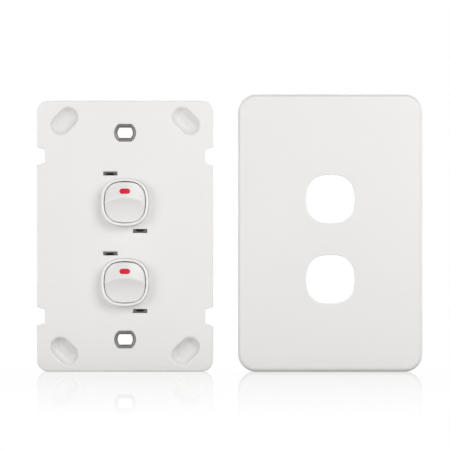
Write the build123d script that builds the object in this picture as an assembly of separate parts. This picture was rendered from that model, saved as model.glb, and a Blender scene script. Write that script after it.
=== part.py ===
from build123d import *
import math
import os

# Two-gang wall light switch: a grid plate that is screwed to the wall, two rocker switches latched into it,
# and the clip-on cover plate, which stands beside it as when the switch is being fitted.
# Everything is drawn as seen on the wall: X to the right, Y up, Z out of the wall, the wall face at Z = 0.
# Each part is stood up when it is written, so that the front looks along -Y and the wall lies along +Y.

# Grid plate
GRID_WIDTH = 71.5
GRID_HEIGHT = 110.0
GRID_DEPTH = 5.0
GRID_FRONT_WALL = 2.2
GRID_RIM = 1.8
GRID_CORNER_RADIUS = 4.6
GRID_EDGE_RADIUS = 0.5
RIB_THICKNESS = 1.2
RIB_SETBACK = 0.8
RIB_OFFSET = 16.5

# Switch centres above the middle of the plate
UPPER_SWITCH = 13.75
LOWER_SWITCH = -18.75

# Fixing holes and the metal bushes in them
FIXING_CENTRES = 84.0
BUSH_WIDTH = 8.8
BUSH_HEIGHT = 7.1
BUSH_HOLE_WIDTH = 6.2
BUSH_HOLE_HEIGHT = 4.2
BUSH_MOUTH_RADIUS = 0.9
BUSH_EDGE_RADIUS = 0.25
BUSH_BOSS_WALL = 1.6

# Blind recesses in the corners of the grid plate, placed from its edges
RECESS_SIDE_INSET = 11.05
RECESS_END_INSET = 8.25
RECESS_SPAN = 4.4
RECESS_TURN = 45
RECESS_FLOOR_WIDTH = 5.8
RECESS_MOUTH_WIDTH = 8.2
RECESS_DEPTH = 3.6
RECESS_FLOOR = 1.1
RECESS_FLOOR_RADIUS = 2.4
RECESS_WALL = 1.0
RECESS_EDGE_RADIUS = 1.0

# Side notches of the grid plate, for the hooks of the cover
NOTCH_Y = 32.5
NOTCH_DEPTH = 3.15
NOTCH_WIDTH = 5.4
NOTCH_MOUTH = 7.6

# Cover plate, which fits round the grid plate
COVER_SIDE_WALL = 1.5
COVER_END_WALL = 1.1
COVER_DEPTH = 9.0
COVER_FRONT_WALL = 1.8
COVER_CORNER_RADIUS = 7.2
COVER_EDGE_RADIUS = 1.8
COVER_MOUTH_RADIUS = 0.35
COVER_GAP = 10.2
HOOK_WIDTH = 4.6
HOOK_THICKNESS = 1.3
HOOK_CATCH = 0.6
HOOK_TIP = 0.8

# Bezel frame of a switch
BEZEL_HALF = 9.7
BEZEL_SIDE_RADIUS = 18.0
BEZEL_CORNER_RADIUS = 7.2
BEZEL_WALL = 1.15
BEZEL_PROUD = 5.0
BEZEL_LIP_RADIUS = 0.5
FLANGE_HALF_WIDTH = 12.4
FLANGE_HALF_HEIGHT = 10.45
FLANGE_THICKNESS = 1.6
SPIGOT_LENGTH = 2.7
SPIGOT_WALL = 1.6
LEG_LENGTH = 7.4
LEG_THICKNESS = 1.1
LEG_WIDTH = 6.0
LEG_WINDOW_WIDTH = 3.6
LEG_WINDOW_LENGTH = 2.2
LEG_WINDOW_END = 1.4

# Pivot of the rocker: a stub on each side, in a blind socket in the wall of the bezel
PIVOT_DEPTH = 2.5
ROCKER_TILT = 5.5
PIVOT_RADIUS = 0.65
SOCKET_FLOOR = 0.45

# Rocker, with heights measured outward from the pivot
ROCKER_GAP = 0.28
ROCKER_SIDE_RADIUS = 22.0
ROCKER_CORNER_RADIUS = 5.6
ROCKER_EDGE_RISE = 1.3
ROCKER_RIDGE_RISE = 4.0
ROCKER_RIDGE_Y = 2.2
ROCKER_BARREL_RADIUS = 17.0
ROCKER_DISH_SAG = 0.9
ROCKER_RIDGE_RADIUS = 1.5
ROCKER_EDGE_RADIUS = 0.4
ROCKER_SKIRT = 1.0
ROCKER_HOLLOW_RISE = 0.2
ROCKER_WALL = 1.9
STEM_RADIUS = 2.9
STEM_LENGTH = 10.6
STEM_BORE_RISE = 0.5

# Red marker in the upper face of the rocker
MARKER_Y = 4.75
MARKER_WIDTH = 4.4
MARKER_HEIGHT = 2.3
MARKER_THICKNESS = 0.9

# Plunger and its spring
PLUNGER_RADIUS = 1.65
PLUNGER_TIP_RADIUS = 1.1
PLUNGER_REACH = 13.5
PLUNGER_SHANK_START = 4.5
PLUNGER_SHANK_END = 11.3
SPRING_WIRE = 0.42
SPRING_RADIUS = 1.3
SPRING_TURNS = 4

# See-saw contact
BLADE_WIDTH = 4.4
BLADE_LENGTH = 15.6
BLADE_THICKNESS = 1.0
BLADE_PIN_RADIUS = 0.6
BLADE_RATIO = 1.5
CONTACT_ARM = 6.2
CONTACT_TIP_RADIUS = 1.3
CONTACT_TIP_HEIGHT = 0.8
CONTACT_TIP_CHAMFER = 0.35
FIXED_TIP_RADIUS = 1.5
FIXED_TIP_HEIGHT = 0.7

# Brass terminals
STRAP_THICKNESS = 1.2
STRAP_WIDTH = 3.2
FORK_EAR_THICKNESS = 1.0
FORK_EAR_WIDTH = 3.4
FORK_EAR_RISE = 0.9
BLOCK_X = 5.3
BLOCK_Y = 5.8
BLOCK_SIZE = 6.6
BLOCK_DEPTH = 7.0
TUNNEL_SIZE = 3.8
TUNNEL_FRONT_WALL = 1.1
SCREW_RADIUS = 1.75
SCREW_HEAD_RADIUS = 2.8
SCREW_HEAD_HEIGHT = 1.7
SCREW_REACH = 0.8
SCREW_SLOT_WIDTH = 0.8
SCREW_SLOT_DEPTH = 0.9

# Rear body of a switch
BODY_HALF_WIDTH = 11.2
BODY_HALF_HEIGHT = 10.4
BODY_WALL = 1.2
BODY_REAR_WALL = 1.9
BODY_CORNER_RADIUS = 1.0
WIRE_WINDOW = 4.2
LUG_WIDTH = 3.0
LUG_RISE = 0.8

# Latches of the rear body and their slots in the grid plate
SLOT_X = 6.05
SLOT_Y = 11.7
SLOT_WIDTH = 6.1
SLOT_HEIGHT = 1.65
LATCH_LEDGE = 0.35
LATCH_LEDGE_THICKNESS = 0.9
LATCH_HEAD_SINK = 0.5
LATCH_ROOT_DEPTH = 5.6
LATCH_ROOT_LENGTH = 2.0
LATCH_NOTCH_WIDTH = 4.0
LATCH_NOTCH_NARROW = 2.4
LATCH_NOTCH_HEIGHT = 0.95
LATCH_NOTCH_DEPTH = 4.0

# Clearances
COVER_CLEARANCE = 0.15
BEZEL_CLEARANCE = 0.2
RUNNING_CLEARANCE = 0.05
SLIDE_CLEARANCE = 0.1
FIT_CLEARANCE = 0.1
SNAP_CLEARANCE = 0.2
CONTACT_CLEARANCE = 0.12

# Levels worked out from the sizes above
GRID_BACK = GRID_DEPTH - GRID_FRONT_WALL
COVER_WIDTH = GRID_WIDTH + 2 * (COVER_CLEARANCE + COVER_SIDE_WALL)
COVER_HEIGHT = GRID_HEIGHT + 2 * (COVER_CLEARANCE + COVER_END_WALL)
LIP = GRID_DEPTH + BEZEL_PROUD
PIVOT = LIP - PIVOT_DEPTH
FLANGE_BACK = GRID_BACK - FLANGE_THICKNESS
OPENING_HALF = BEZEL_HALF - BEZEL_WALL
ROCKER_HALF = OPENING_HALF - ROCKER_GAP
SOCKET_END = BEZEL_HALF - SOCKET_FLOOR
BLADE_TILT = BLADE_RATIO * ROCKER_TILT
FULCRUM = PIVOT - PLUNGER_REACH - SLIDE_CLEARANCE - BLADE_THICKNESS / 2
TIP_DROP = (BLADE_THICKNESS / 2 + CONTACT_TIP_HEIGHT) * math.cos(math.radians(BLADE_TILT))
TIP_SWING = (CONTACT_ARM + CONTACT_TIP_RADIUS - CONTACT_TIP_CHAMFER) * math.sin(math.radians(BLADE_TILT))
FIXED_TIP_FRONT = FULCRUM - TIP_DROP - TIP_SWING - CONTACT_CLEARANCE
STRAP_FRONT = FIXED_TIP_FRONT - FIXED_TIP_HEIGHT
STRAP_BACK = STRAP_FRONT - STRAP_THICKNESS
BLOCK_BACK = STRAP_BACK - BLOCK_DEPTH
TUNNEL_FRONT = STRAP_BACK - TUNNEL_FRONT_WALL
TUNNEL_BACK = TUNNEL_FRONT - TUNNEL_SIZE
BODY_FLOOR = BLOCK_BACK - FIT_CLEARANCE
BODY_BACK = BODY_FLOOR - BODY_REAR_WALL
SPIGOT_BACK = FLANGE_BACK - SPIGOT_LENGTH
LEG_BACK = FLANGE_BACK - LEG_LENGTH
LATCH_LEDGE_FRONT = GRID_BACK + LATCH_LEDGE_THICKNESS
OVERRUN = 1.0


def block(left, right, low, high, back, front):
    """A box between two places in each direction."""
    size = Box(right - left, high - low, front - back)
    return Pos((left + right) / 2, (low + high) / 2, (back + front) / 2) * size


def prism(outline, back, front):
    """An outline seen from the front, drawn out between two levels."""
    return extrude(Pos(0, 0, back) * outline, amount=front - back, dir=(0, 0, 1))


def rod(radius, back, front):
    """A round bar that points out of the wall."""
    return Pos(0, 0, (back + front) / 2) * Cylinder(radius, front - back)


def cross_rod(radius, left, right):
    """A round bar that runs left to right."""
    return Pos((left + right) / 2, 0, 0) * Rot(0, 90, 0) * Cylinder(radius, right - left)


def barrel(width, height):
    """A circle with its top and bottom cut off flat."""
    return Circle(width / 2) & Rectangle(width, height)


def bulged_square(half, side_radius, corner_radius):
    """A square with bowed sides and round corners."""
    shift = side_radius - half
    outline = Pos(shift, 0) * Circle(side_radius)
    for place in (Pos(-shift, 0), Pos(0, shift), Pos(0, -shift)):
        outline = outline & place * Circle(side_radius)
    return fillet(outline.vertices(), corner_radius)


def bezel_outline(half):
    """An outline parallel to the outside of the bezel."""
    step = half - BEZEL_HALF
    return bulged_square(half, BEZEL_SIDE_RADIUS + step, BEZEL_CORNER_RADIUS + step)


def rocker_outline(half):
    """An outline parallel to the rocker, which has flatter sides and tighter corners than the bezel."""
    step = half - ROCKER_HALF
    return bulged_square(half, ROCKER_SIDE_RADIUS + step, ROCKER_CORNER_RADIUS + step)


def on_both_sides(shape):
    """A shape on the right, and its mirror image on the left."""
    return shape + mirror(shape, about=Plane.YZ)


def notch_outline(height):
    """The flared notch in the right-hand side of the grid plate, at a height."""
    side = GRID_WIDTH / 2
    inner = side - NOTCH_DEPTH
    outer = side + OVERRUN
    corners = (
        (outer, -NOTCH_MOUTH / 2),
        (outer, NOTCH_MOUTH / 2),
        (side, NOTCH_MOUTH / 2),
        (inner, NOTCH_WIDTH / 2),
        (inner, -NOTCH_WIDTH / 2),
        (side, -NOTCH_MOUTH / 2),
    )
    return Pos(0, height) * Polygon(*corners, align=None)


def recess_places():
    """The four corner recesses, each lying across its corner."""
    x = GRID_WIDTH / 2 - RECESS_SIDE_INSET
    y = GRID_HEIGHT / 2 - RECESS_END_INSET
    for right in (-1, 1):
        for up in (-1, 1):
            yield Pos(right * x, up * y) * Rot(0, 0, -RECESS_TURN * right * up)


def recess_outline(width):
    return SlotCenterToCenter(RECESS_SPAN, width)


def recess_cut():
    """A dished blind recess, whose sloping wall runs into its floor with a large radius."""
    floor = Pos(0, 0, GRID_DEPTH - RECESS_DEPTH) * recess_outline(RECESS_FLOOR_WIDTH)
    mouth = Pos(0, 0, GRID_DEPTH) * recess_outline(RECESS_MOUTH_WIDTH)
    cut = loft([floor, mouth])
    return fillet(cut.faces().sort_by(Axis.Z)[0].edges(), RECESS_FLOOR_RADIUS)


def latch_places():
    """The latches of a switch, above left and below right of it."""
    return (Pos(-SLOT_X, SLOT_Y), Pos(SLOT_X, -SLOT_Y) * Rot(0, 0, 180))


def latch_slot():
    """A latch slot, with the ledge that the latch hooks over on the side away from the switch."""
    low = -SLOT_HEIGHT / 2
    high = SLOT_HEIGHT / 2
    half = SLOT_WIDTH / 2
    front = block(-half, half, low, high, LATCH_LEDGE_FRONT, GRID_DEPTH + OVERRUN)
    back = block(-half, half, low, high - LATCH_LEDGE, GRID_BACK - OVERRUN, LATCH_LEDGE_FRONT)
    return front + back


def grid_plate():
    """Wall plate moulded with a rim, ribs and bosses on its back."""
    outline = RectangleRounded(GRID_WIDTH, GRID_HEIGHT, GRID_CORNER_RADIUS)
    for height in (-NOTCH_Y, NOTCH_Y):
        notch = notch_outline(height)
        outline = outline - notch - mirror(notch, about=Plane.YZ)
    plate = prism(outline, 0, GRID_DEPTH)
    plate = fillet(plate.faces().sort_by(Axis.Z)[-1].edges(), GRID_EDGE_RADIUS)
    hollow = RectangleRounded(
        GRID_WIDTH - 2 * GRID_RIM,
        GRID_HEIGHT - 2 * GRID_RIM,
        GRID_CORNER_RADIUS - GRID_RIM,
    )
    side = GRID_WIDTH / 2
    wall_reach = NOTCH_DEPTH + HOOK_CATCH + SNAP_CLEARANCE + GRID_RIM
    for height in (-NOTCH_Y, NOTCH_Y):
        notch_wall = Pos(side, height) * Rectangle(2 * wall_reach, NOTCH_MOUTH + 2 * GRID_RIM)
        hollow = hollow - notch_wall - mirror(notch_wall, about=Plane.YZ)
    plate = plate - prism(hollow, -OVERRUN, GRID_BACK)
    rib_height = GRID_HEIGHT - GRID_RIM
    rib = block(
        RIB_OFFSET - RIB_THICKNESS / 2,
        RIB_OFFSET + RIB_THICKNESS / 2,
        -rib_height / 2,
        rib_height / 2,
        RIB_SETBACK,
        GRID_BACK,
    )
    plate = plate + on_both_sides(rib)
    boss_width = BUSH_WIDTH + 2 * BUSH_BOSS_WALL
    boss_height = BUSH_HEIGHT + 2 * BUSH_BOSS_WALL
    hole_width = BUSH_WIDTH + 2 * RUNNING_CLEARANCE
    hole_height = BUSH_HEIGHT + 2 * RUNNING_CLEARANCE
    for height in (-FIXING_CENTRES / 2, FIXING_CENTRES / 2):
        bridge = block(
            -RIB_OFFSET, RIB_OFFSET, -RIB_THICKNESS / 2, RIB_THICKNESS / 2, RIB_SETBACK, GRID_BACK
        )
        boss = prism(barrel(boss_width, boss_height), 0, GRID_BACK)
        hole = prism(barrel(hole_width, hole_height), -OVERRUN, LIP)
        plate = plate + Pos(0, height) * (bridge + boss)
        plate = plate - Pos(0, height) * hole
    recess_back = max(0, GRID_DEPTH - RECESS_DEPTH - RECESS_FLOOR)
    recess_shell = prism(recess_outline(RECESS_MOUTH_WIDTH + 2 * RECESS_WALL), recess_back, GRID_BACK)
    for place in recess_places():
        plate = plate + place * recess_shell
    for place in recess_places():
        plate = plate - place * recess_cut()
    mouths = []
    front_edges = plate.edges().group_by(Axis.Z)[-1]
    for place in recess_places():
        middle = place.position + Vector(0, 0, GRID_DEPTH)
        for edge in front_edges:
            if (edge.center() - middle).length < RECESS_MOUTH_WIDTH:
                mouths.append(edge)
    plate = fillet(mouths, RECESS_EDGE_RADIUS)
    undercut = NOTCH_DEPTH + HOOK_CATCH + SNAP_CLEARANCE
    for height in (-NOTCH_Y, NOTCH_Y):
        catch = block(
            side - undercut,
            side + OVERRUN,
            height - NOTCH_WIDTH / 2,
            height + NOTCH_WIDTH / 2,
            -OVERRUN,
            GRID_BACK,
        )
        plate = plate - on_both_sides(catch)
    for centre in (UPPER_SWITCH, LOWER_SWITCH):
        plate = plate - Pos(0, centre) * prism(bezel_outline(BEZEL_HALF + FIT_CLEARANCE), -OVERRUN, LIP)
        for place in latch_places():
            plate = plate - Pos(0, centre) * place * latch_slot()
    return plate


def cover_hook():
    """The hook inside the cover's right-hand side that catches behind the front wall of the grid plate."""
    face = GRID_WIDTH / 2 - NOTCH_DEPTH + SNAP_CLEARANCE
    root = COVER_DEPTH - COVER_FRONT_WALL + OVERRUN / 2
    shoulder = GRID_BACK - SNAP_CLEARANCE
    corners = (
        (face, root),
        (face + HOOK_THICKNESS, root),
        (face + HOOK_THICKNESS, HOOK_TIP),
        (face, HOOK_TIP),
        (face - HOOK_CATCH, shoulder - HOOK_CATCH / 2),
        (face, shoulder),
    )
    return extrude(Plane.XZ * Polygon(*corners, align=None), amount=HOOK_WIDTH / 2, both=True)


def cover_plate():
    """Shallow moulded cover with soft front edges and an opening for each switch."""
    cover = prism(RectangleRounded(COVER_WIDTH, COVER_HEIGHT, COVER_CORNER_RADIUS), 0, COVER_DEPTH)
    cover = fillet(cover.faces().sort_by(Axis.Z)[-1].edges(), COVER_EDGE_RADIUS)
    room = RectangleRounded(
        GRID_WIDTH + 2 * COVER_CLEARANCE,
        GRID_HEIGHT + 2 * COVER_CLEARANCE,
        GRID_CORNER_RADIUS + COVER_CLEARANCE,
    )
    cover = cover - prism(room, -OVERRUN, COVER_DEPTH - COVER_FRONT_WALL)
    for height in (-NOTCH_Y, NOTCH_Y):
        cover = cover + Pos(0, height) * on_both_sides(cover_hook())
    for centre in (UPPER_SWITCH, LOWER_SWITCH):
        opening = prism(bezel_outline(BEZEL_HALF + BEZEL_CLEARANCE), 0, COVER_DEPTH + OVERRUN)
        cover = cover - Pos(0, centre) * opening
    front = cover.faces().sort_by(Axis.Z)[-1]
    mouths = [edge for wire in front.inner_wires() for edge in wire.edges()]
    return fillet(mouths, COVER_MOUTH_RADIUS)


def mounting_bush():
    """Metal eyelet with a rolled mouth, pressed into a fixing hole."""
    outline = barrel(BUSH_WIDTH, BUSH_HEIGHT) - barrel(BUSH_HOLE_WIDTH, BUSH_HOLE_HEIGHT)
    bush = prism(outline, 0, GRID_DEPTH)
    bush = fillet(bush.faces().sort_by(Axis.Z)[-1].outer_wire().edges(), BUSH_EDGE_RADIUS)
    wall = min(BUSH_WIDTH - BUSH_HOLE_WIDTH, BUSH_HEIGHT - BUSH_HOLE_HEIGHT) / 2
    mouth_radius = min(BUSH_MOUTH_RADIUS, wall - BUSH_EDGE_RADIUS - RUNNING_CLEARANCE)
    mouth = bush.faces().sort_by(Axis.Z)[-1].inner_wires()[0]
    return fillet(mouth.edges(), mouth_radius)


def bezel_frame():
    """Front frame of a switch: lip with the pivot sockets, flange behind the plate, spigot and snap legs."""
    ring = prism(bezel_outline(BEZEL_HALF) - bezel_outline(OPENING_HALF), FLANGE_BACK, LIP)
    lip_radius = min(BEZEL_LIP_RADIUS, BEZEL_WALL / 2 - RUNNING_CLEARANCE)
    ring = fillet(ring.faces().sort_by(Axis.Z)[-1].edges(), lip_radius)
    flange = block(
        -FLANGE_HALF_WIDTH, FLANGE_HALF_WIDTH, -FLANGE_HALF_HEIGHT, FLANGE_HALF_HEIGHT, FLANGE_BACK, GRID_BACK
    )
    spigot_x = BODY_HALF_WIDTH - BODY_WALL - FIT_CLEARANCE
    spigot_y = BODY_HALF_HEIGHT - BODY_WALL - FIT_CLEARANCE
    spigot = block(-spigot_x, spigot_x, -spigot_y, spigot_y, SPIGOT_BACK, FLANGE_BACK)
    passage_x = spigot_x - SPIGOT_WALL
    passage_y = spigot_y - SPIGOT_WALL
    spigot = spigot - block(-passage_x, passage_x, -passage_y, passage_y, SPIGOT_BACK, FLANGE_BACK)
    leg_face = FLANGE_HALF_WIDTH - LEG_THICKNESS
    leg = block(leg_face, FLANGE_HALF_WIDTH, -LEG_WIDTH / 2, LEG_WIDTH / 2, LEG_BACK, GRID_BACK)
    window_back = LEG_BACK + LEG_WINDOW_END
    leg = leg - block(
        leg_face,
        FLANGE_HALF_WIDTH,
        -LEG_WINDOW_WIDTH / 2,
        LEG_WINDOW_WIDTH / 2,
        window_back,
        window_back + LEG_WINDOW_LENGTH,
    )
    socket = cross_rod(PIVOT_RADIUS + RUNNING_CLEARANCE, ROCKER_HALF, SOCKET_END)
    frame = flange - prism(bezel_outline(OPENING_HALF), FLANGE_BACK, GRID_BACK)
    frame = frame + ring + spigot + on_both_sides(leg)
    return frame - Pos(0, 0, PIVOT) * on_both_sides(socket)


def rocker_head():
    """The solid head of the rocker, with a soft ridge between crown and dish, and the slope of its crown."""
    rise = ROCKER_RIDGE_RISE - ROCKER_EDGE_RISE
    upper_run = ROCKER_HALF - ROCKER_RIDGE_Y
    slope = math.degrees(math.atan2(rise, upper_run))
    ridge = Pos(0, ROCKER_RIDGE_Y, PIVOT + ROCKER_RIDGE_RISE)
    reach = 4 * BEZEL_HALF
    lying = Rot(90, 0, 0) * Cylinder(ROCKER_BARREL_RADIUS, reach)
    crown = ridge * Rot(-slope, 0, 0) * Pos(0, 0, -ROCKER_BARREL_RADIUS) * lying
    lower_run = ROCKER_HALF + ROCKER_RIDGE_Y
    chord = math.hypot(rise, lower_run)
    dish_radius = (chord**2 / 8 + ROCKER_DISH_SAG**2 / 2) / ROCKER_DISH_SAG
    incline = math.degrees(math.atan2(rise, lower_run))
    middle_rise = (ROCKER_RIDGE_RISE + ROCKER_EDGE_RISE) / 2
    chord_middle = Pos(0, (ROCKER_RIDGE_Y - ROCKER_HALF) / 2, PIVOT + middle_rise)
    dish_centre = chord_middle * Rot(incline, 0, 0) * Pos(0, 0, dish_radius - ROCKER_DISH_SAG)
    dish = dish_centre * cross_rod(dish_radius, -reach / 2, reach / 2)
    back = PIVOT - ROCKER_SKIRT
    front = PIVOT + 2 * ROCKER_RIDGE_RISE
    blank = block(-BEZEL_HALF, BEZEL_HALF, -BEZEL_HALF, BEZEL_HALF, back, front)
    blank = (blank & crown) - dish
    ridge_edge = blank.edges().sort_by_distance((0, ROCKER_RIDGE_Y, PIVOT + ROCKER_RIDGE_RISE))[0]
    blank = fillet(ridge_edge, ROCKER_RIDGE_RADIUS)
    head = prism(rocker_outline(ROCKER_HALF), back, front) & blank
    rim = []
    for edge in head.edges():
        middle = edge.center()
        outside = max(abs(middle.X), abs(middle.Y)) > ROCKER_HALF / 2
        if outside and middle.Z > back + ROCKER_SKIRT and edge.geom_type != GeomType.LINE:
            rim.append(edge)
    return fillet(rim, ROCKER_EDGE_RADIUS), slope


def marker_plug(slope):
    """The slot-shaped plug of red plastic, square to the upper face of the rocker."""
    rise = ROCKER_RIDGE_RISE - (MARKER_Y - ROCKER_RIDGE_Y) * math.tan(math.radians(slope))
    plug = prism(SlotOverall(MARKER_WIDTH, MARKER_HEIGHT), -MARKER_THICKNESS, OVERRUN)
    return Pos(0, MARKER_Y, PIVOT + rise) * Rot(-slope, 0, 0) * plug


def rocker_and_marker():
    """The rocker, standing straight, and the marker let into it."""
    head, slope = rocker_head()
    ceiling = PIVOT + ROCKER_HOLLOW_RISE
    hollow = prism(rocker_outline(ROCKER_HALF - ROCKER_WALL), PIVOT - ROCKER_SKIRT, ceiling)
    stub_root = ROCKER_HALF - ROCKER_WALL / 2
    stub = Pos(0, 0, PIVOT) * cross_rod(PIVOT_RADIUS, stub_root, SOCKET_END - SLIDE_CLEARANCE)
    stem = rod(STEM_RADIUS, PIVOT - STEM_LENGTH, ceiling)
    bore = rod(PLUNGER_RADIUS + SLIDE_CLEARANCE, PIVOT - STEM_LENGTH, PIVOT + STEM_BORE_RISE)
    rocker = head - hollow + stem + on_both_sides(stub) - bore
    plug = marker_plug(slope)
    return rocker - plug, rocker & plug


def plunger():
    """Round-nosed plunger that slides in the rocker's stem."""
    nose = PIVOT - PLUNGER_REACH + PLUNGER_TIP_RADIUS
    shoulder = PIVOT - PLUNGER_SHANK_END
    shank = rod(PLUNGER_RADIUS, shoulder, PIVOT - PLUNGER_SHANK_START)
    taper = Cone(PLUNGER_TIP_RADIUS, PLUNGER_RADIUS, shoulder - nose)
    return shank + Pos(0, 0, (shoulder + nose) / 2) * taper + Pos(0, 0, nose) * Sphere(PLUNGER_TIP_RADIUS)


def plunger_spring():
    """Coil spring between the end of the stem's bore and the plunger."""
    room = STEM_BORE_RISE + PLUNGER_SHANK_START - SPRING_WIRE - 2 * RUNNING_CLEARANCE
    path = Helix(pitch=room / SPRING_TURNS, height=room, radius=SPRING_RADIUS)
    wire = Plane(origin=path @ 0, z_dir=path % 0) * Circle(SPRING_WIRE / 2)
    coil = sweep(wire, path=path, is_frenet=True)
    return Pos(0, 0, PIVOT - PLUNGER_SHANK_START + SPRING_WIRE / 2 + RUNNING_CLEARANCE) * coil


def moving_contact():
    """See-saw blade with a pin on each edge, lying level."""
    outline = RectangleRounded(BLADE_WIDTH, BLADE_LENGTH, BLADE_WIDTH / 4)
    blade = prism(outline, -BLADE_THICKNESS / 2, BLADE_THICKNESS / 2)
    edge = BLADE_WIDTH / 2
    pin = cross_rod(BLADE_PIN_RADIUS, edge - BLADE_PIN_RADIUS, edge + SNAP_CLEARANCE + FORK_EAR_THICKNESS)
    return Pos(0, 0, FULCRUM) * (blade + on_both_sides(pin))


def moving_contact_tips():
    """Silver tips riveted to the back of the blade."""
    tip = Cylinder(CONTACT_TIP_RADIUS, CONTACT_TIP_HEIGHT)
    tip = chamfer(tip.edges().sort_by(Axis.Z)[0], CONTACT_TIP_CHAMFER)
    level = FULCRUM - BLADE_THICKNESS / 2 - CONTACT_TIP_HEIGHT / 2
    return Pos(0, CONTACT_ARM, level) * tip + Pos(0, -CONTACT_ARM, level) * tip


def fixed_contact_tips():
    """Silver tips on the straps of the two switched terminals."""
    tip = rod(FIXED_TIP_RADIUS, STRAP_FRONT, FIXED_TIP_FRONT)
    return Pos(0, CONTACT_ARM) * tip + Pos(0, -CONTACT_ARM) * tip


def terminal_block():
    """Brass tunnel for a wire, with a screw hole in its back, centred on its own place."""
    half = BLOCK_SIZE / 2
    body = block(-half, half, -half, half, BLOCK_BACK, STRAP_BACK)
    tunnel = block(-TUNNEL_SIZE / 2, TUNNEL_SIZE / 2, -half, half, TUNNEL_BACK, TUNNEL_FRONT)
    thread = rod(SCREW_RADIUS + RUNNING_CLEARANCE, BLOCK_BACK, TUNNEL_BACK)
    return body - tunnel - thread


def switched_terminal():
    """The upper switched terminal: block, and the strap that carries its contact."""
    strap = block(
        -FIXED_TIP_RADIUS - SNAP_CLEARANCE,
        BLOCK_X + BLOCK_SIZE / 2,
        CONTACT_ARM - STRAP_WIDTH / 2,
        CONTACT_ARM + STRAP_WIDTH / 2,
        STRAP_BACK,
        STRAP_FRONT,
    )
    return Pos(BLOCK_X, BLOCK_Y) * terminal_block() + strap


def loop_terminal():
    """Spare terminal with a plain tab in front of its block."""
    half = BLOCK_SIZE / 2
    tab = block(-half, half, CONTACT_ARM - BLOCK_Y - STRAP_WIDTH / 2, half, STRAP_BACK, STRAP_FRONT)
    return Pos(-BLOCK_X, BLOCK_Y) * (terminal_block() + tab)


def common_terminal():
    """Common terminal: block, angled strap and the fork that the see-saw blade rocks in."""
    ear_face = BLADE_WIDTH / 2 + SNAP_CLEARANCE
    ear_back = ear_face + FORK_EAR_THICKNESS
    half = FORK_EAR_WIDTH / 2
    left = -BLOCK_X - BLOCK_SIZE / 2
    upright = block(left, -ear_face, -BLOCK_Y, half, STRAP_BACK, STRAP_FRONT)
    cross = block(-ear_back, ear_back, -half, half, STRAP_BACK, STRAP_FRONT)
    ear = block(ear_face, ear_back, -half, half, STRAP_FRONT, FULCRUM + FORK_EAR_RISE)
    seat_radius = BLADE_PIN_RADIUS + RUNNING_CLEARANCE
    seat = Pos(0, 0, FULCRUM) * cross_rod(seat_radius, ear_face, ear_back)
    seat = seat + block(ear_face, ear_back, -seat_radius, seat_radius, FULCRUM, FULCRUM + FORK_EAR_RISE)
    return Pos(-BLOCK_X, -BLOCK_Y) * terminal_block() + upright + cross + on_both_sides(ear - seat)


def block_places():
    for right in (-1, 1):
        for up in (-1, 1):
            yield Pos(right * BLOCK_X, up * BLOCK_Y)


def terminal_screws():
    """Slotted screws that clamp the wires, one in each terminal."""
    head_front = BLOCK_BACK
    head_back = BLOCK_BACK - SCREW_HEAD_HEIGHT
    screw = rod(SCREW_HEAD_RADIUS, head_back, head_front)
    screw = screw + rod(SCREW_RADIUS, head_front, TUNNEL_BACK + SCREW_REACH)
    slot = block(
        -SCREW_HEAD_RADIUS,
        SCREW_HEAD_RADIUS,
        -SCREW_SLOT_WIDTH / 2,
        SCREW_SLOT_WIDTH / 2,
        head_back,
        head_back + SCREW_SLOT_DEPTH,
    )
    screw = screw - slot
    return Compound([place * screw for place in block_places()])


def latch():
    """A latch arm with its hooked head, in the place of the slot that it goes through."""
    low = -SLOT_HEIGHT / 2 + FIT_CLEARANCE
    high = SLOT_HEIGHT / 2 - FIT_CLEARANCE
    half = SLOT_WIDTH / 2 - SNAP_CLEARANCE
    arm_top = high - LATCH_LEDGE
    head_front = GRID_DEPTH - LATCH_HEAD_SINK
    root_front = LATCH_ROOT_LENGTH - LATCH_ROOT_DEPTH
    root_low = BODY_HALF_HEIGHT - SLOT_Y - FIT_CLEARANCE
    arm = block(-half, half, low, arm_top, -LATCH_ROOT_DEPTH, head_front)
    head = block(-half, half, low, high, LATCH_LEDGE_FRONT + FIT_CLEARANCE / 2, head_front)
    root = block(-half, half, root_low, arm_top, -LATCH_ROOT_DEPTH, root_front)
    notch = Polygon(
        (-LATCH_NOTCH_WIDTH / 2, low - OVERRUN),
        (LATCH_NOTCH_WIDTH / 2, low - OVERRUN),
        (LATCH_NOTCH_WIDTH / 2, low),
        (LATCH_NOTCH_NARROW / 2, low + LATCH_NOTCH_HEIGHT),
        (-LATCH_NOTCH_NARROW / 2, low + LATCH_NOTCH_HEIGHT),
        (-LATCH_NOTCH_WIDTH / 2, low),
        align=None,
    )
    return arm + head + root - prism(notch, head_front - LATCH_NOTCH_DEPTH, GRID_DEPTH)


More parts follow.
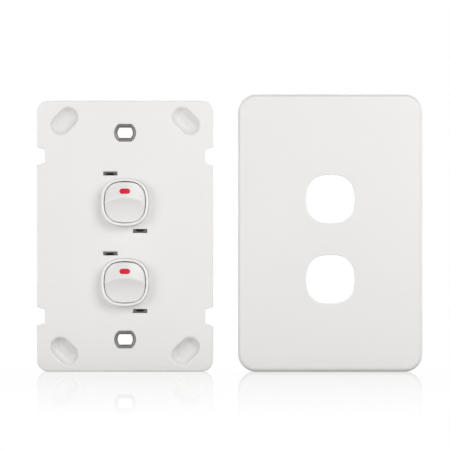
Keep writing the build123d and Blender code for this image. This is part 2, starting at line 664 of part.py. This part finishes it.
def rear_body():
    """Rear moulding of a switch: contact chamber, four terminal pockets, snap lugs and latches."""
    body = prism(Rectangle(2 * BODY_HALF_WIDTH, 2 * BODY_HALF_HEIGHT), BODY_BACK, FLANGE_BACK)
    body = fillet(body.edges().filter_by(Axis.Z), BODY_CORNER_RADIUS)
    room_x = BODY_HALF_WIDTH - BODY_WALL
    room_y = BODY_HALF_HEIGHT - BODY_WALL
    body = body - block(-room_x, room_x, -room_y, room_y, STRAP_BACK, FLANGE_BACK)
    half = BLOCK_SIZE / 2 + FIT_CLEARANCE
    for place in block_places():
        pocket = block(-half, half, -half, half, BODY_FLOOR, STRAP_BACK)
        driver_hole = rod(SCREW_HEAD_RADIUS + SNAP_CLEARANCE, BODY_BACK, BODY_FLOOR)
        body = body - place * (pocket + driver_hole)
    middle = (TUNNEL_FRONT + TUNNEL_BACK) / 2
    for x in (-BLOCK_X, BLOCK_X):
        window = Pos(x, 0, middle) * Box(WIRE_WINDOW, 2 * BODY_HALF_HEIGHT, WIRE_WINDOW)
        core = Pos(x, 0, middle) * Box(WIRE_WINDOW, 2 * BLOCK_Y, WIRE_WINDOW)
        body = body - (window - core)
    window_back = LEG_BACK + LEG_WINDOW_END
    lug_back = window_back + SNAP_CLEARANCE
    lug_front = window_back + LEG_WINDOW_LENGTH - SNAP_CLEARANCE
    ramp = Polygon(
        (BODY_HALF_WIDTH, lug_back),
        (BODY_HALF_WIDTH + LUG_RISE, lug_back),
        (BODY_HALF_WIDTH, lug_front),
        align=None,
    )
    lug = extrude(Plane.XZ * ramp, amount=LUG_WIDTH / 2, both=True)
    body = body + on_both_sides(lug)
    for place in latch_places():
        body = body + place * latch()
    return body


def switch_pieces():
    """Every piece of one switch, about its own centre, with the rocker top out."""
    tilt = Pos(0, 0, PIVOT) * Rot(ROCKER_TILT, 0, 0) * Pos(0, 0, -PIVOT)
    sway = Pos(0, 0, FULCRUM) * Rot(-BLADE_TILT, 0, 0) * Pos(0, 0, -FULCRUM)
    rocker, marker = rocker_and_marker()
    first = switched_terminal()
    return {
        "bezel_frame": bezel_frame(),
        "rear_body": rear_body(),
        "rocker": tilt * rocker,
        "on_marker": tilt * marker,
        "plunger": tilt * plunger(),
        "plunger_spring": tilt * plunger_spring(),
        "moving_contact": sway * moving_contact(),
        "moving_contact_tips": sway * moving_contact_tips(),
        "fixed_contact_tips": fixed_contact_tips(),
        "terminal_one": first,
        "terminal_two": mirror(first, about=Plane.XZ),
        "common_terminal": common_terminal(),
        "loop_terminal": loop_terminal(),
        "terminal_screws": terminal_screws(),
    }


def write(name, shape):
    """Stand a part up on the wall and write it."""
    export_step(Plane.XZ * shape, f"parts/{name}.step")


os.makedirs("parts", exist_ok=True)
write("grid_plate", grid_plate())
cover_place = Pos((GRID_WIDTH + COVER_WIDTH) / 2 + COVER_GAP, (COVER_HEIGHT - GRID_HEIGHT) / 2)
write("cover_plate", cover_place * cover_plate())
bush = mounting_bush()
write("upper_mounting_bush", Pos(0, FIXING_CENTRES / 2) * bush)
write("lower_mounting_bush", Pos(0, -FIXING_CENTRES / 2) * bush)
pieces = switch_pieces()
for position, centre in (("upper", UPPER_SWITCH), ("lower", LOWER_SWITCH)):
    for piece_name, piece in pieces.items():
        write(f"{position}_{piece_name}", Pos(0, centre) * piece)
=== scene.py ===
import math

import bpy
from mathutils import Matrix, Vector


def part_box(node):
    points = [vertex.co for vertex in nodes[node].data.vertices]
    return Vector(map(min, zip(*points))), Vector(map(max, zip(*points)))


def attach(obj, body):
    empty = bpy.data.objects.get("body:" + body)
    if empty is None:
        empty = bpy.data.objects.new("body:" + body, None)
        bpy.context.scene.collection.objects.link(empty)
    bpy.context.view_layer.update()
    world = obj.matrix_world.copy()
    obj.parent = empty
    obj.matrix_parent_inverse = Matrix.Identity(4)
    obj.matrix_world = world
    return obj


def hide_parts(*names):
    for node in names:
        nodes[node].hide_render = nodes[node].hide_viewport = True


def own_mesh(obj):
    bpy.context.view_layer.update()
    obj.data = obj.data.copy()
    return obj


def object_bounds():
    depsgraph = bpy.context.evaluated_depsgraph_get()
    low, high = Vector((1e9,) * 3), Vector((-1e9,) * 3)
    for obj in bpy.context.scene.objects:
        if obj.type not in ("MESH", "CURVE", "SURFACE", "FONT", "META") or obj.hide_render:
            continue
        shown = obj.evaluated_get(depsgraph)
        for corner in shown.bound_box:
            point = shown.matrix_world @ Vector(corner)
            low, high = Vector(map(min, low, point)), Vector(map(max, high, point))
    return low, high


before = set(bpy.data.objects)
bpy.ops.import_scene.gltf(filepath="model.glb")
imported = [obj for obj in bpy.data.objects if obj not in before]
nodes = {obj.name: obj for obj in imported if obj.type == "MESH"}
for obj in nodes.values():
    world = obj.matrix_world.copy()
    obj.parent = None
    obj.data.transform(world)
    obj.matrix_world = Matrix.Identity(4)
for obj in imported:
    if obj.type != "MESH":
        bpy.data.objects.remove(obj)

cad_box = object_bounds()
# The nodes come in selected, and an operator acts on all that is selected.
bpy.ops.object.select_all(action="DESELECT")

# Grid plate: the wall plate that both switches latch into, held to the wall box by two screws.
# It is injection moulded in white ABS, so its front is smooth and satin, with a faint cloudiness
# from the flow of the melt and a fine grain from the spark-eroded tool.
MM_PER_METRE = 1000.0


def linear(colour):
    """An sRGB hex colour as linear red, green, blue and alpha, by the standard's own curve."""
    channels = [int(colour[place:place + 2], 16) / 255 for place in (1, 3, 5)]
    return [c / 12.92 if c <= 0.04045 else ((c + 0.055) / 1.055) ** 2.4 for c in channels] + [1.0]


def add_node(material, kind, inputs=(), **settings):
    """Add a node with its settings; inputs pair a socket with a value or with another node's output."""
    node = material.node_tree.nodes.new(kind)
    for name, value in settings.items():
        setattr(node, name, value)
    for socket, value in dict(inputs).items():
        if isinstance(value, bpy.types.NodeSocket):
            material.node_tree.links.new(value, node.inputs[socket])
        else:
            node.inputs[socket].default_value = value
    return node


def new_material(name):
    """An empty material, and the place of its points on the object in metres."""
    material = bpy.data.materials.new(name)
    material.use_nodes = True
    material.node_tree.nodes.clear()
    place = add_node(material, "ShaderNodeTexCoord").outputs["Object"]
    return material, place


def per_metre(millimetres):
    """The scale of a pattern whose features are that far apart."""
    return MM_PER_METRE / millimetres


def moulded_plastic(name, light, dark, roughness, ior, grain_mm, grain_height_mm):
    """Injection-moulded plastic: cloudy tone from the melt, uneven gloss and a fine tool grain."""
    flow_mm = 38.0
    gloss_mm = 9.0
    gloss_spread = 0.14
    grain_strength = 0.35
    material, place = new_material(name)
    flow = add_node(
        material, "ShaderNodeTexNoise", {"Vector": place, "Scale": per_metre(flow_mm), "Detail": 3.0}
    )
    tone = add_node(
        material,
        "ShaderNodeMix",
        {"Factor": flow.outputs["Fac"], "A": linear(dark), "B": linear(light)},
        data_type="RGBA",
    )
    patches = add_node(
        material, "ShaderNodeTexNoise", {"Vector": place, "Scale": per_metre(gloss_mm), "Detail": 2.0}
    )
    gloss = add_node(
        material,
        "ShaderNodeMapRange",
        {
            "Value": patches.outputs["Fac"],
            "To Min": roughness * (1.0 - gloss_spread),
            "To Max": roughness * (1.0 + gloss_spread),
        },
    )
    # The real grain is some hundredths of a millimetre wide, too fine to show, so it is drawn coarser.
    grain = add_node(
        material, "ShaderNodeTexNoise", {"Vector": place, "Scale": per_metre(grain_mm), "Detail": 1.0}
    )
    bump = add_node(
        material,
        "ShaderNodeBump",
        {
            "Height": grain.outputs["Fac"],
            "Strength": grain_strength,
            "Distance": grain_height_mm / MM_PER_METRE,
        },
    )
    shader = add_node(
        material,
        "ShaderNodeBsdfPrincipled",
        {
            "Base Color": tone.outputs["Result"],
            "Roughness": gloss.outputs["Result"],
            "IOR": ior,
            "Normal": bump.outputs["Normal"],
        },
    )
    add_node(material, "ShaderNodeOutputMaterial", {"Surface": shader.outputs["BSDF"]})
    return material


def finish_node(name, material):
    """Give a CAD node its real finish."""
    nodes[name].data.materials.clear()
    nodes[name].data.materials.append(material)


white_abs = moulded_plastic(
    "white_moulded_abs",
    light="#F0EFED",
    dark="#EBEAE8",
    roughness=0.36,
    ior=1.53,
    grain_mm=0.7,
    grain_height_mm=0.01,
)

# The floors of the corner recesses are only about 1 mm thick. What lies deep in the plate and faces the
# front
# is painted a shade darker there: painted shade, standing for the shade that falls in the recesses.
RECESS_PAINTED_SHADE = "#DFDEDC"
PAINTED_SHADE_STARTS_MM = -2.8
PAINTED_SHADE_FULL_FROM_MM = -1.5
WALL_NORMAL_Y = -0.3
FLOOR_NORMAL_Y = -0.9
abs_shader = white_abs.node_tree.nodes["Principled BSDF"]
abs_tone = abs_shader.inputs["Base Color"].links[0].from_socket
on_plate = add_node(white_abs, "ShaderNodeTexCoord")
depth = add_node(white_abs, "ShaderNodeSeparateXYZ", {"Vector": on_plate.outputs["Object"]})
facing = add_node(white_abs, "ShaderNodeSeparateXYZ", {"Vector": on_plate.outputs["Normal"]})
shade_by_depth = add_node(
    white_abs,
    "ShaderNodeMapRange",
    {
        "Value": depth.outputs["Y"],
        "From Min": PAINTED_SHADE_STARTS_MM / MM_PER_METRE,
        "From Max": PAINTED_SHADE_FULL_FROM_MM / MM_PER_METRE,
    },
)
flatness = add_node(
    white_abs,
    "ShaderNodeMapRange",
    {"Value": facing.outputs["Y"], "From Min": WALL_NORMAL_Y, "From Max": FLOOR_NORMAL_Y},
)
# Painted shade mask: deep in the plate and facing the front, that is, the recess floors.
painted_shade_mask = add_node(
    white_abs,
    "ShaderNodeMath",
    {0: shade_by_depth.outputs["Result"], 1: flatness.outputs["Result"]},
    operation="MULTIPLY",
)
# The plate's colour with the painted shade mixed in on the recess floors.
with_painted_shade = add_node(
    white_abs,
    "ShaderNodeMix",
    {"Factor": painted_shade_mask.outputs["Value"], "A": abs_tone, "B": linear(RECESS_PAINTED_SHADE)},
    data_type="RGBA",
)
white_abs.node_tree.links.new(with_painted_shade.outputs["Result"], abs_shader.inputs["Base Color"])
finish_node("grid_plate", white_abs)

# Mounting bushes: barrel-shaped steel eyelets pressed into the two fixing holes, zinc plated.
# The plating is dull and grey, with soft streaks where the eyelet was drawn.
SIDES = ("upper", "lower")


def metal(name, light, dark, roughness, mark_mm, closeness):
    """Bare or plated metal with marks in tone and gloss, as close along x, y and z as closeness says."""
    gloss_spread = 0.3
    mark_strength = 0.3
    mark_height_mm = 0.02
    material, place = new_material(name)
    drawn_out = add_node(material, "ShaderNodeMapping", {"Vector": place, "Scale": closeness})
    # The real lines are hundredths of a millimetre apart, too fine to show, so they are drawn coarser.
    marks = add_node(
        material,
        "ShaderNodeTexNoise",
        {"Vector": drawn_out.outputs["Vector"], "Scale": per_metre(mark_mm), "Detail": 4.0},
    )
    tone = add_node(
        material,
        "ShaderNodeMix",
        {"Factor": marks.outputs["Fac"], "A": linear(dark), "B": linear(light)},
        data_type="RGBA",
    )
    gloss = add_node(
        material,
        "ShaderNodeMapRange",
        {
            "Value": marks.outputs["Fac"],
            "To Min": roughness * (1.0 + gloss_spread),
            "To Max": roughness * (1.0 - gloss_spread),
        },
    )
    bump = add_node(
        material,
        "ShaderNodeBump",
        {
            "Height": marks.outputs["Fac"],
            "Strength": mark_strength,
            "Distance": mark_height_mm / MM_PER_METRE,
        },
    )
    shader = add_node(
        material,
        "ShaderNodeBsdfPrincipled",
        {
            "Base Color": tone.outputs["Result"],
            "Metallic": 1.0,
            "Roughness": gloss.outputs["Result"],
            "Normal": bump.outputs["Normal"],
        },
    )
    add_node(material, "ShaderNodeOutputMaterial", {"Surface": shader.outputs["BSDF"]})
    return material


zinc_plate = metal(
    "zinc_plated_steel",
    light="#7B7A78",
    dark="#666563",
    roughness=0.42,
    mark_mm=1.2,
    closeness=(1.0, 0.15, 1.0),
)
for side in SIDES:
    finish_node(f"{side}_mounting_bush", zinc_plate)

# Rear bodies: the housings of the two switches, moulded in dark grey flame-retardant nylon.
# Their surface is matt, and the heads of their latch arms show in the slots of the grid plate.
grey_nylon = moulded_plastic(
    "grey_moulded_nylon",
    light="#646462",
    dark="#565654",
    roughness=0.55,
    ior=1.53,
    grain_mm=0.5,
    grain_height_mm=0.02,
)
for side in SIDES:
    finish_node(f"{side}_rear_body", grey_nylon)

# Terminals: brass tunnels and straps, cut from extruded bar and pressed from strip, dropped into the
# rear bodies. The brass is bright and yellow, with fine drawing lines across the switch.
TERMINALS = ("terminal_one", "terminal_two", "common_terminal", "loop_terminal")
drawn_brass = metal(
    "drawn_brass",
    light="#D9B163",
    dark="#B98D45",
    roughness=0.3,
    mark_mm=0.6,
    closeness=(0.2, 1.0, 1.0),
)
for side in SIDES:
    for terminal in TERMINALS:
        finish_node(f"{side}_{terminal}", drawn_brass)

# Terminal screws: slotted steel screws that clamp the wires in the terminals, turned from behind.
# Their bright zinc plating is pale and shiny, and a little cloudy.
bright_zinc = metal(
    "bright_zinc_plate",
    light="#D3D3D0",
    dark="#A9A9A6",
    roughness=0.28,
    mark_mm=0.8,
    closeness=(1.0, 1.0, 1.0),
)
for side in SIDES:
    finish_node(f"{side}_terminal_screws", bright_zinc)

# See-saw contacts: a brass blade that rocks in the fork of the common terminal, with silver tips
# riveted to it, and silver tips on the two switched terminals. The silver is pale and a little warm,
# with a clear shine.
contact_silver = metal(
    "contact_silver",
    light="#E6E3DC",
    dark="#C9C5BB",
    roughness=0.25,
    mark_mm=0.4,
    closeness=(1.0, 1.0, 1.0),
)
for side in SIDES:
    finish_node(f"{side}_moving_contact", drawn_brass)
    finish_node(f"{side}_moving_contact_tips", contact_silver)
    finish_node(f"{side}_fixed_contact_tips", contact_silver)

# Plungers and springs: each rocker's stem holds a moulded plunger of natural acetal, which looks milky,
# pushed against the blade by a coil of hard-drawn spring wire, which has a dull grey shine.
WELD_DISTANCE = 0.000001
natural_acetal = moulded_plastic(
    "natural_acetal",
    light="#E4E0D2",
    dark="#D8D3C3",
    roughness=0.4,
    ior=1.48,
    grain_mm=0.5,
    grain_height_mm=0.01,
)
spring_wire = metal(
    "spring_wire",
    light="#A2A19D",
    dark="#75746F",
    roughness=0.3,
    mark_mm=0.3,
    closeness=(1.0, 1.0, 0.3),
)
for side in SIDES:
    finish_node(f"{side}_plunger", natural_acetal)
    finish_node(f"{side}_plunger_spring", spring_wire)
    # A plunger that gives shortens its coil by its own travel. A copy of the coil's solid, with its
    # finish, stands in for it, because it can be pressed together towards the end of the stem.
    coil = bpy.data.objects.new(f"{side}_spring_coil", nodes[f"{side}_plunger_spring"].data.copy())
    bpy.context.scene.collection.objects.link(coil)
    bpy.context.view_layer.objects.active = coil
    bpy.ops.object.mode_set(mode="EDIT")
    bpy.ops.mesh.select_all(action="SELECT")
    bpy.ops.mesh.remove_doubles(threshold=WELD_DISTANCE)
    bpy.ops.object.mode_set(mode="OBJECT")
    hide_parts(f"{side}_plunger_spring")
    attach(coil, f"{side}_rocker")
    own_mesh(coil)

# Bezel frames: the white front frames of the switches, with the lip through the grid plate and legs
# that snap to the rear body. They are moulded in ABS in a polished tool, so the lip has a clear shine.
lip_abs = moulded_plastic(
    "white_polished_abs",
    light="#F4F3F1",
    dark="#F1F0EE",
    roughness=0.24,
    ior=1.53,
    grain_mm=0.7,
    grain_height_mm=0.006,
)
for side in SIDES:
    finish_node(f"{side}_bezel_frame", lip_abs)

# Rockers: the white finger pieces, moulded in smooth ABS, each on two stubs in its bezel frame.
# Their batch of plastic is a shade less white than the frames, with a softer shine.
rocker_abs = moulded_plastic(
    "white_rocker_abs",
    light="#EAE9E7",
    dark="#E6E5E3",
    roughness=0.34,
    ior=1.53,
    grain_mm=0.7,
    grain_height_mm=0.006,
)
for side in SIDES:
    finish_node(f"{side}_rocker", rocker_abs)

# Markers: small plugs of red polycarbonate moulded into the rockers to show when a switch is on.
# Their satin face sends back less white light than most plastics do, so the red stays deep.
MARKER_SPECULAR = 0.35
red_polycarbonate = moulded_plastic(
    "red_polycarbonate",
    light="#D4002E",
    dark="#C8002A",
    roughness=0.3,
    ior=1.58,
    grain_mm=0.6,
    grain_height_mm=0.006,
)
red_shader = red_polycarbonate.node_tree.nodes["Principled BSDF"]
red_shader.inputs["Specular IOR Level"].default_value = MARKER_SPECULAR
for side in SIDES:
    finish_node(f"{side}_on_marker", red_polycarbonate)

# Cover plate: the clip-on front, taken off and stood beside the grid plate.
# It is moulded in white ABS, a shade less white than the grid plate, with softly rounded front edges.
cover_abs = moulded_plastic(
    "white_cover_abs",
    light="#ECEBE9",
    dark="#E8E7E5",
    roughness=0.36,
    ior=1.53,
    grain_mm=0.7,
    grain_height_mm=0.01,
)
finish_node("cover_plate", cover_abs)

# Floor: a sheet of white acrylic that both plates stand on, as white to the camera as the background.
# It mirrors them faintly close to their feet and keeps their soft shadow, and the light that it throws
# back is weaker beside and behind them, as where a plate stands on paper.
FLOOR_HALF = 1.6
FLOOR_WHITE = "#FFFFFF"
WHITE_STRENGTH = 1.0
MIRROR_REACH = 0.5
MIRROR_SHARE = 0.36
MIRROR_ROUGHNESS = 0.02
SHADOW_TONE = "#E8E8E8"
SHADOW_SHARE = 0.04
SHADOW_REACH_FRONT = 0.5
SHADOW_REACH_BEHIND = 0.03
BOUNCE_REACH = 0.02
BOUNCE_NEAR = 0.35
BOUNCE_FAR = 0.8
foot = cad_box[0][2]
bpy.ops.mesh.primitive_plane_add(size=2 * FLOOR_HALF, location=(0.0, 0.0, foot))
bpy.ops.object.transform_apply(location=True, rotation=False, scale=False)
floor = bpy.context.object
floor.name = "floor"
acrylic, place = new_material("white_acrylic")
seen = add_node(acrylic, "ShaderNodeLightPath")
seen_white = add_node(
    acrylic,
    "ShaderNodeMath",
    {0: seen.outputs["Is Camera Ray"], 1: seen.outputs["Is Glossy Ray"]},
    operation="MAXIMUM",
)
split = add_node(acrylic, "ShaderNodeSeparateXYZ", {"Vector": place})
mirror_share = add_node(
    acrylic,
    "ShaderNodeMapRange",
    {
        "Value": split.outputs["Y"],
        "From Min": -MIRROR_REACH,
        "From Max": 0.0,
        "To Min": 0.0,
        "To Max": MIRROR_SHARE,
    },
)
shadow_front = add_node(
    acrylic,
    "ShaderNodeMapRange",
    {
        "Value": split.outputs["Y"],
        "From Min": -SHADOW_REACH_FRONT,
        "From Max": 0.0,
        "To Min": 0.0,
        "To Max": SHADOW_SHARE,
    },
)
shadow_behind = add_node(
    acrylic,
    "ShaderNodeMapRange",
    {
        "Value": split.outputs["Y"],
        "From Min": 0.0,
        "From Max": SHADOW_REACH_BEHIND,
        "To Min": 1.0,
        "To Max": 0.0,
    },
)
shadow_share = add_node(
    acrylic,
    "ShaderNodeMath",
    {0: shadow_front.outputs["Result"], 1: shadow_behind.outputs["Result"]},
    operation="MULTIPLY",
)
bounce_tone = add_node(
    acrylic,
    "ShaderNodeMapRange",
    {
        "Value": split.outputs["Y"],
        "From Min": -BOUNCE_REACH,
        "From Max": 0.0,
        "To Min": BOUNCE_FAR,
        "To Max": BOUNCE_NEAR,
    },
)
shaded = add_node(acrylic, "ShaderNodeBsdfDiffuse", {"Color": linear(SHADOW_TONE)})
bounced = add_node(acrylic, "ShaderNodeBsdfDiffuse", {"Color": bounce_tone.outputs["Result"]})
mirror = add_node(
    acrylic, "ShaderNodeBsdfGlossy", {"Color": linear(FLOOR_WHITE), "Roughness": MIRROR_ROUGHNESS}
)
glow = add_node(
    acrylic, "ShaderNodeEmission", {"Color": linear(FLOOR_WHITE), "Strength": WHITE_STRENGTH}
)
with_shadow = add_node(
    acrylic,
    "ShaderNodeMixShader",
    {0: shadow_share.outputs["Value"], 1: glow.outputs["Emission"], 2: shaded.outputs["BSDF"]},
)
with_mirror = add_node(
    acrylic,
    "ShaderNodeMixShader",
    {0: mirror_share.outputs["Result"], 1: with_shadow.outputs["Shader"], 2: mirror.outputs["BSDF"]},
)
surface = add_node(
    acrylic,
    "ShaderNodeMixShader",
    {0: seen_white.outputs["Value"], 1: bounced.outputs["BSDF"], 2: with_mirror.outputs["Shader"]},
)
add_node(acrylic, "ShaderNodeOutputMaterial", {"Surface": surface.outputs["Shader"]})
floor.data.materials.append(acrylic)

# Light: a white tent around the object and two soft boxes in front of it, both above the middle of
# the plates and the right one higher, so that the bezels throw soft shadows to both sides and down.
# Three more behind the plates light their edges and backs.
TENT_WHITE = "#FFFFFF"
TENT_STRENGTH = 0.245
TENT_STRENGTH_SEEN = 1.0
LAMP_SIZE = 0.4
SOFT_BOXES = (
    ("front_left_soft_box", (-0.42, -0.52, 0.1), 1.46),
    ("front_right_soft_box", (0.28, -0.5, 0.24), 1.8),
    ("edge_left_soft_box", (-0.62, 0.26, 0.1), 1.3),
    ("edge_right_soft_box", (0.62, 0.26, 0.1), 1.3),
    ("rear_soft_box", (0.0, 0.6, 0.2), 1.5),
)
world = bpy.data.worlds.new("white_tent")
bpy.context.scene.world = world
world.use_nodes = True
world.node_tree.nodes.clear()
path = add_node(world, "ShaderNodeLightPath")
tent_seen = add_node(
    world,
    "ShaderNodeMath",
    {0: path.outputs["Is Camera Ray"], 1: path.outputs["Is Glossy Ray"]},
    operation="MAXIMUM",
)
tent_strength = add_node(
    world,
    "ShaderNodeMapRange",
    {"Value": tent_seen.outputs["Value"], "To Min": TENT_STRENGTH, "To Max": TENT_STRENGTH_SEEN},
)
tent = add_node(
    world,
    "ShaderNodeBackground",
    {"Color": linear(TENT_WHITE), "Strength": tent_strength.outputs["Result"]},
)
add_node(world, "ShaderNodeOutputWorld", {"Surface": tent.outputs["Background"]})
middle = Vector(((cad_box[0][0] + cad_box[1][0]) / 2, 0.0, 0.0))
target = middle + Vector((0.0, cad_box[0][1], 0.0))
for name, from_middle, watts in SOFT_BOXES:
    lamp = bpy.data.lights.new(name, "AREA")
    lamp.size = LAMP_SIZE
    lamp.energy = watts
    soft_box = bpy.data.objects.new(name, lamp)
    bpy.context.scene.collection.objects.link(soft_box)
    soft_box.location = middle + Vector(from_middle)
    soft_box.rotation_euler = (target - soft_box.location).to_track_quat("-Z", "Y").to_euler()

# Camera: square to the plates and nearly level with their middle, far off and with a long lens, so
# that they show almost no perspective. Its frame is as wide as the two plates with their margins.
CAMERA_DISTANCE = 2.0
FRAME_WIDTH = 0.18285
FRAME_CENTRE_X = 0.0406
FRAME_CENTRE_Z = 0.0045
LEVEL_TILT = math.radians(90)
camera_data = bpy.data.cameras.new("camera")
camera = bpy.data.objects.new("camera", camera_data)
bpy.context.scene.collection.objects.link(camera)
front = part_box("grid_plate")[0].y
camera.location = (FRAME_CENTRE_X, front - CAMERA_DISTANCE, FRAME_CENTRE_Z)
camera.rotation_euler = (LEVEL_TILT, 0.0, 0.0)
camera_data.lens = camera_data.sensor_width * CAMERA_DISTANCE / FRAME_WIDTH
bpy.context.scene.camera = camera
bpy.context.scene.view_settings.view_transform = "Standard"
